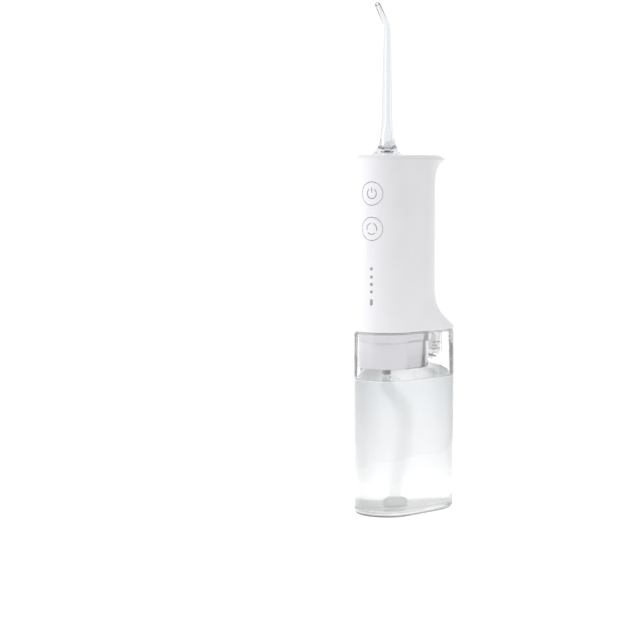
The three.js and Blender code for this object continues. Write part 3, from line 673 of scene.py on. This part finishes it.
def make_controls():
    power_icon = [arc_path(2.85, 125, 415, 48), [(0, 0.6), (0, 3.4)]]
    mode_icon = [arc_path(3.1, start, start + 92) for start in (100, 220, 340)]
    make_button("power_cap", POWER_Z, "power_button", power_icon)
    make_button("mode_cap", MODE_Z, "mode_button", mode_icon)
    radius = LIGHT_RADIUS
    profile = [(0, 0.02), (radius - 0.15, 0.03), (radius, 0.15), (radius, 3.6), (0, 3.6)]
    for i, z in enumerate(LIGHT_HEIGHTS[:4], 1):
        lens = front_turned(f"light_lens_{i}", z, profile, 32)
        finished(soften(lens), PRINT, "handle", "frosted_plastic", "light_guide")
    bar = light_slot("light_bar", 0, (3.6, 0.03))
    finished(soften(bar, 0.08), PRINT, "handle", "frosted_plastic", "light_guide")


# ---------------------------------------------------------------- covers

def make_cover(name, node, body, wall):
    surface_y = rearmost(TANK_REACH if node == "refill_cover" else GRIP_REACH)
    place = cover_place(node, surface_y)
    half, low, high = place["half_width"], place["low"], place["high"]
    barrel = (-BARREL["half_length"], BARREL["half_length"])
    depth = (place["floor_y"] + GAP, place["axis_y"] + CUTTER_REACH)
    plate = block(name, (-half, half), depth, (low + 1.9, high), corner=1.1)
    combine(plate, "UNION", block("tongue", barrel, depth, (low, low + 3)))
    combine(plate, "INTERSECT", wall)
    grip_y = (surface_y - 0.5, surface_y + 3)
    cut(plate, *[block("groove", (-half * 0.45, half * 0.45), grip_y,
                       (high - 1.3 - 1.1 * i, high - 0.8 - 1.1 * i), corner=0.2) for i in range(3)])
    combine(plate, "UNION", spindle("knuckle", barrel, place["axis_y"], low, BARREL["radius"]))
    cut(plate, spindle("bore", (-9, 9), place["axis_y"], low, BARREL["bore"]))
    in_slot(soften(plate, 0, 30), "clear_silicone" if node == "refill_cover" else "silicone", body, node)


# ---------------------------------------------------------------- tank and water

def foot_stations(inset, low, rounding, steps):
    """Stations of a rounded bottom edge."""
    stations = []
    for i in range(steps + 1):
        turn = math.pi / 2 * i / steps
        across = rounding * (1 - math.sin(turn))
        stations.append((TANK_REACH, inset + across, low + rounding * (1 - math.cos(turn))))
    return stations


def flank_point(reach, inset, back, out):
    """A point of an outline's straight +X side: that far behind its front end and that far out of it."""
    x = (FRONT_RADIUS - inset + out) * math.cos(TANGENT) + back * math.sin(TANGENT)
    y = -(FRONT_RADIUS - inset + out) * math.sin(TANGENT) + back * math.cos(TANGENT)
    return x, min(y, reach)


def make_marks():
    """Fill marks: a short scale on the tank's side and a corner mark low on its front."""
    outwards = Vector((math.cos(TANGENT), -math.sin(TANGENT), 0))

    def on_side(back, z):
        return Vector((*flank_point(TANK_REACH, 0, back, 0), z)), outwards

    def on_front(x, z):
        return front_place(x, z, 0)

    scale = [[(18, z), (18 + length, z)] for z, length in ((98.2, 7), (96.4, 4.5), (94.6, 7))]
    corner = [[(-8.2, 23), (-8.2, 27.5)], [(-8.5, 27.5), (-1.9, 27.5)], [(-2.2, 27.5), (-2.2, 25)]]
    marks = [("fill_mark", scale, 0.45, on_side, MARKING), ("front_mark", corner, 0.6, on_front, FROST)]
    for name, paths, width, place, look in marks:
        for i, (start, end) in enumerate(paths, 1):
            steps = [Vector(start).lerp(Vector(end), k / 8) for k in range(9)]
            mark = ribbon(f"{name}_{i}", steps, width, place, 0.05, -0.01)
            finished(mark, look, "tank", "clear_plastic")


def make_tank():
    place = cover_place("refill_cover", rearmost(TANK_REACH))
    frame_y = place["floor_y"] - COVER_FRAME
    rim = [(TANK_REACH, 0, TANK_TOP - 0.4), (TANK_REACH, 0.12, TANK_TOP - 0.12), (TANK_REACH, 0.4, TANK_TOP)]
    outside = levels("tank_shell", foot_stations(0, 0, FOOT_ROUNDING, 10) + rim)
    inside = foot_stations(TANK_WALL, TANK_FLOOR, INNER_ROUNDING, 8)
    room = levels("room", [*inside, (TANK_REACH, TANK_WALL, TANK_TOP + 1)])
    frame_block = block("frame", (-11.5, 11.5), (frame_y, place["axis_y"] + CUTTER_REACH),
                        (place["low"] - 4, place["high"] + 3), corner=2)
    mouth = block("mouth", (-6.5, 6.5), (frame_y - 1, place["floor_y"] + 1),
                  (place["low"] + 3.2, place["high"] - 2), corner=1.5)
    tank = cut(outside, cut(room, frame_block), *cover_recess(place), mouth)
    in_slot(soften(tank, 0, 30), "clear_plastic", "tank", "tank_body")


def make_water():
    """The water reaches a little way into the wall, so no film of air shows between them."""
    overlap = 0.3
    inset = TANK_WALL - overlap
    creep = [(0.0, 0.4), (0.25, 0.22), (0.8, 0.08), (1.8, 0.0)]
    surface = [(TANK_REACH, inset + across, WATER_LEVEL + rise) for across, rise in creep]
    water = levels("water", foot_stations(inset, TANK_FLOOR - overlap, INNER_ROUNDING, 8) + surface)
    finished(soften(water, 0, 40), WATER, "tank", "clear_plastic")


# ---------------------------------------------------------------- what hangs from the handle

def make_base_plate():
    stations = [(TANK_REACH, 2.7, HANDLE_LOW + 0.1), (TANK_REACH, 2.5, HANDLE_LOW + 0.3),
                (TANK_REACH, 2.5, LIP_TOP)]
    plate = cut(levels("floor_plate", stations), prism("opening", CUP_REACH, 4, 100, 110))
    hole = [(0, 100), (1.3, 100), (1.3, 110), (0, 110)]
    cut(plate, *[turned("hole", x, 20, hole, 32) for x in (-14.8, 14.8)])
    in_slot(soften(plate, 0, 30), "white_plastic", "handle", "base_plate")


def make_gasket():
    low, high = (corner.z for corner in measured("tank_gasket"))
    bulge = [(0.85, low), (0.62, low + 0.1), (0.6, (low + high) / 2), (0.62, high - 0.1), (0.85, high)]
    seal = levels("seal_ring", [(TANK_REACH, inset, z) for inset, z in bulge])
    cut(seal, prism("opening", TANK_REACH, 1.8, low - 1, high + 1))
    in_slot(soften(seal, 0, 40), "silicone", "handle", "tank_gasket")


def make_pump_cup():
    low, high = measured("pump_cup")
    lower = [(3.3, CUP_FOOT), (2.65, CUP_FOOT + 0.2), (CUP_INSET, CUP_FOOT + 0.9), (CUP_INSET, CUP_STEP)]
    upper = [(CUP_INSET, CUP_STEP), (2.17, CUP_STEP + 0.08), (BAND_INSET, CUP_STEP + 0.3),
             (BAND_INSET, high.z)]
    cup = levels("pump_housing", [(CUP_REACH, inset, z) for inset, z in lower]
                 + [(BAND_REACH, inset, z) for inset, z in upper])
    nub = turned("nub", 0, 0, [
        (0, low.z), (2.1, low.z), (2.4, low.z + 0.15), (2.5, low.z + 0.5),
        (2.5, CUP_FOOT - 0.6), (2.9, CUP_FOOT + 0.1), (2.9, CUP_FOOT + 1), (0, CUP_FOOT + 1)])
    combine(cup, "UNION", nub)
    corners = ((1, -0.45), (1, 2), (12.5, 2), (12.5, -0.45))
    groove = [flank_point(BAND_REACH, BAND_INSET, back, out) for back, out in corners]
    cut(cup, skin("groove", [[(x, y, z) for x, y in groove] for z in (CUP_STEP + 0.7, CUP_STEP + 1.4)]))
    cut(cup, prism("room", CUP_REACH, 3.9, CUP_FOOT + 1.6, high.z + 1),
        turned("inlet", 0, 0, [(0, 70), (1, 70), (1, 90), (0, 90)], 32))
    in_slot(soften(cup, 0, 30), "silver_plastic", "handle", "pump_cup")


def make_suction():
    y = middle("suction_strainer").y
    route = [(0, 0, 78.3), (0, 0, 75.5), (0, 2.4, 70.5), (0, 9, 63.5), (0, 13.2, 55), (0, 13.6, 43),
             (0, 10.5, 29), (0, y + 0.5, 16), (0, y, 9.3)]
    tube = hose("intake_tube", route, INTAKE_RADIUS["outside"], INTAKE_RADIUS["bore"])
    finished(soften(tube), SUNK_SILICONE, "handle", "clear_silicone", "suction_tube")
    grooves = [spot for z in (4.9, 6.3) for spot in ((4.4, z), (4, z), (4, z + 0.6), (4.4, z + 0.6))]
    rim = [(3.8, 3.6), (4.25, 3.75), (4.4, 4.2), *grooves, (4.4, 7.6), (4.2, 8.1), (3.4, 9)]
    weight = turned("intake_weight", 0, y, [(0, 3.6), *rim, (0, 9)])
    finished(soften(weight, 0, 30), MILKY, "handle", "white_plastic", "suction_strainer")


# ---------------------------------------------------------------- nozzle and release

def nozzle_ring(length, radius, sides=48):
    """A round section of the nozzle, square to its centreline at that distance above the deck."""
    straight = BEND_Z - DECK
    turn = min(max((length - straight) / BEND_RADIUS, 0), BEND_ANGLE)
    beyond = max(0, length - straight - BEND_RADIUS * BEND_ANGLE)
    y = -BEND_RADIUS * (1 - math.cos(turn)) - beyond * math.sin(turn)
    z = DECK + min(length, straight) + BEND_RADIUS * math.sin(turn) + beyond * math.cos(turn)
    ring = []
    for u, v, _ in circle(0, 0, 0, radius, sides):
        ring.append((u, y + v * math.cos(turn), z + v * math.sin(turn)))
    return ring


def make_nozzle():
    straight = BEND_Z - DECK
    bend = BEND_RADIUS * BEND_ANGLE
    whole = straight + bend + TIP_LENGTH
    trumpet = [(1, 7.75), (1.5, 7.2), (2.6, 6.4), (4.9, 5.2), (8.3, 4.25), (12, 3.7), (17, 3.25)]
    shank = [(36, 2.85), (55, 2.45), (65, 2.1), (straight, 1.9)]
    flange = [(0.3, 8.2), (0.36, 8.35), (0.5, 8.4), (0.66, 8.35), (0.78, 8.1)]
    swept = [(straight + bend * i / 14, 1.9 - 0.2 * i / 14) for i in range(1, 15)]
    tip = [(whole - 0.35, 1.5), (whole - 0.08, 1.42), (whole, 1.2)]
    curve = [(point.x, point.y) for point in spline(trumpet + shank, 6)]
    outside = flange + curve + swept + tip
    nozzle = skin("nozzle_tube", [nozzle_ring(length, radius) for length, radius in outside])
    stem = turned("stem", 0, 0, [(0, 188), (STEM_RADIUS - 0.5, 188), (STEM_RADIUS, 188.8),
                                 (STEM_RADIUS, DECK + 0.6), (0, DECK + 0.6)], 48)
    combine(nozzle, "UNION", stem)
    wide, narrow = CHAMBER["radius"], CHAMBER["jet"]
    throat = [(CHAMBER["length"] + (CHAMBER["throat"] - CHAMBER["length"]) * i / 8,
               narrow + (wide - narrow) * (1 + math.cos(math.pi * i / 8)) / 2) for i in range(9)]
    jet = [(length, narrow) for length in [straight, *[length for length, _ in swept], whole + 1]]
    bore = [nozzle_ring(length, radius, 32) for length, radius in [(-20, wide), *throat, *jet]]
    cut(nozzle, skin("bore", bore))
    in_slot(soften(nozzle, 0, 30), "clear_nozzle", "nozzle", "nozzle")


def make_socket():
    inner = STEM_RADIUS + 0.4
    outer = SOCKET_RADIUS
    profile = [(1.6, 184), (outer, 184), (outer, 200.6), (8.6, 200.6), (8.6, 202), (outer, 202),
               (outer, 204), (outer - 0.2, 204.2), (inner + 0.2, 204.2), (inner, 204), (inner, 193),
               (5.6, 193), (5.6, 190.4), (inner, 190.4), (inner, 187.4), (1.6, 187.4), (1.6, 184)]
    collar = turned("nozzle_collar", 0, 0, profile)
    in_slot(soften(collar), "white_plastic", "nozzle_rotor", "nozzle_socket")


def make_release():
    edge = 0.5
    turns = [math.pi / 12 * i for i in range(7)]
    top = [(RELEASE_RADIUS - edge + edge * math.cos(t), DECK - edge + edge * math.sin(t)) for t in turns]
    dish = [(RELEASE_RADIUS * s, DECK - 0.35 * (1 - (s / 0.85) ** 2)) for s in (0.8, 0.6, 0.4, 0.2)]
    profile = [(0, 197.7), (1.5, 197.7), (1.5, 199.4), (5.6, 199.4), (5.6, DECK_UNDERSIDE - GAP),
               (RELEASE_RADIUS, DECK_UNDERSIDE - GAP), *top, *dish, (0, DECK - 0.35)]
    button = turned("release_cap", 0, RELEASE_Y, profile)
    in_slot(soften(button, 0, 30), "white_plastic", "release_button", "release_button")


# ---------------------------------------------------------------- studio

VIEW_AZIMUTH = 28
CAMERA_DISTANCE = 1.1
CAMERA_HEIGHT = 0.1986
CAMERA_PITCH = 4.56
CAMERA_YAW = 1.98


def make_camera():
    azimuth = math.radians(VIEW_AZIMUTH)
    data = bpy.data.cameras.new("camera")
    data.lens = 109
    data.sensor_width = 36
    camera = bpy.data.objects.new("camera", data)
    camera.location = (
        CAMERA_DISTANCE * math.sin(azimuth),
        NOZZLE_Y - CAMERA_DISTANCE * math.cos(azimuth),
        CAMERA_HEIGHT,
    )
    camera.rotation_euler = (math.radians(90 - CAMERA_PITCH), 0, azimuth + math.radians(CAMERA_YAW))
    bpy.context.scene.collection.objects.link(camera)
    bpy.context.scene.camera = camera


# The studio round the object: brightness by degrees from the far side, positive to the camera's right.
# A tall softbox stands at the left; the camera's own side is the dimmest.
STUDIO = [(-180, 0.64), (-140, 0.74), (-114, 1.7), (-74, 1.7), (-50, 0.95), (0, 1.05), (40, 0.95),
          (70, 0.78), (130, 0.7), (180, 0.64)]
CEILING = 0.95
BACKDROP = 1.05


def make_world():
    """White to the camera; for light, the studio's ring of brightness with a soft ceiling."""
    world = bpy.data.worlds.new("studio")
    bpy.context.scene.world = world
    world.use_nodes = True
    nodes, links = world.node_tree.nodes, world.node_tree.links
    nodes.clear()
    place = nodes.new("ShaderNodeTexCoord")
    turn = nodes.new("ShaderNodeVectorRotate")
    turn.rotation_type = "Z_AXIS"
    turn.inputs["Angle"].default_value = -math.radians(VIEW_AZIMUTH)
    split = nodes.new("ShaderNodeSeparateXYZ")
    angle = nodes.new("ShaderNodeMath")
    angle.operation = "ARCTAN2"
    spread = nodes.new("ShaderNodeMapRange")
    spread.inputs["From Min"].default_value = -math.pi
    spread.inputs["From Max"].default_value = math.pi
    ring = nodes.new("ShaderNodeValToRGB")
    ring.color_ramp.interpolation = "EASE"
    while len(ring.color_ramp.elements) < len(STUDIO):
        ring.color_ramp.elements.new(1)
    for element, (degrees, level) in zip(ring.color_ramp.elements, STUDIO):
        element.position = 0.5 + degrees / 360
        element.color = (level, level, level, 1)
    rise = nodes.new("ShaderNodeMapRange")
    rise.inputs["From Min"].default_value = 0.45
    rise.inputs["From Max"].default_value = 0.9
    above = nodes.new("ShaderNodeMix")
    above.data_type = "RGBA"
    above.inputs["B"].default_value = (CEILING, CEILING, CEILING, 1)
    path = nodes.new("ShaderNodeLightPath")
    shown = nodes.new("ShaderNodeMix")
    shown.data_type = "RGBA"
    shown.inputs["B"].default_value = (BACKDROP, BACKDROP, BACKDROP, 1)
    background = nodes.new("ShaderNodeBackground")
    output = nodes.new("ShaderNodeOutputWorld")
    links.new(place.outputs["Generated"], turn.inputs["Vector"])
    links.new(turn.outputs["Vector"], split.inputs["Vector"])
    links.new(split.outputs["X"], angle.inputs[0])
    links.new(split.outputs["Y"], angle.inputs[1])
    links.new(angle.outputs["Value"], spread.inputs["Value"])
    links.new(spread.outputs["Result"], ring.inputs["Fac"])
    links.new(split.outputs["Z"], rise.inputs["Value"])
    links.new(rise.outputs["Result"], above.inputs["Factor"])
    links.new(ring.outputs["Color"], above.inputs["A"])
    links.new(above.outputs["Result"], shown.inputs["A"])
    links.new(path.outputs["Is Camera Ray"], shown.inputs["Factor"])
    links.new(shown.outputs["Result"], background.inputs["Color"])
    links.new(background.outputs["Background"], output.inputs["Surface"])


def make_floor():
    """A small pale disc, because a wide floor would be mirrored in the cup."""
    sides = 96
    floor = build("floor", circle(0, 0, -0.02, 360, sides), [tuple(range(sides))])
    look = moulded("floor", (0.4, 0.4, 0.4), (0.42, 0.42, 0.42), 0.6,
                   Emission_Color=(1, 1, 1, 1), Emission_Strength=0.94)
    floor.data.materials.append(look)


scene = bpy.context.scene
scene.view_settings.view_transform = "Standard"
scene.cycles.max_bounces = 256
scene.cycles.transmission_bounces = 256
scene.cycles.glossy_bounces = 256
scene.cycles.sample_clamp_indirect = 1.6
scene.cycles.blur_glossy = 4
make_camera()
make_world()
make_floor()
dress_cad_nodes()
make_handle_shell()
make_deck_plate()
make_controls()
make_cover("charge_flap", "charge_cover", "charge_cover", handle_outer("wall"))
make_cover("refill_flap", "refill_cover", "refill_cover", prism("wall", TANK_REACH, 0, 60, 103))
make_tank()
make_marks()
make_water()
make_base_plate()
make_gasket()
make_pump_cup()
make_suction()
make_nozzle()
make_socket()
make_release()
